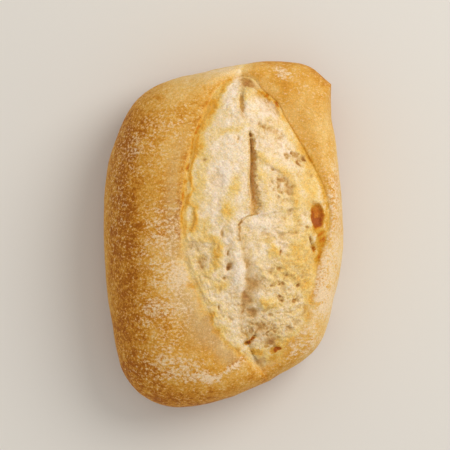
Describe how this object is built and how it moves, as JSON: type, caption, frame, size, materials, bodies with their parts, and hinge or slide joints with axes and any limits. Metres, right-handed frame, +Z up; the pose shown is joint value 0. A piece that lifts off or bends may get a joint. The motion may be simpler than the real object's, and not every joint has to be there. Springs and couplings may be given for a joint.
{
  "type": "mini baguette",
  "caption": "Short crusty bread roll whose crust has burst lengthwise, with torn crumb swelling out of the split, on a flat base.",
  "frame": {"origin": "middle of the bounding box in X and Y, on the flat base the roll rests on", "axes": "+Y along the roll towards the split's far end, +Z up out of the split, +X towards the sharp corner"},
  "size_m": [0.083, 0.12, 0.047],
  "materials": {
    "crust": null
  },
  "bodies": {
    "root": {"loaf": "crust"}
  },
  "joints": []
}
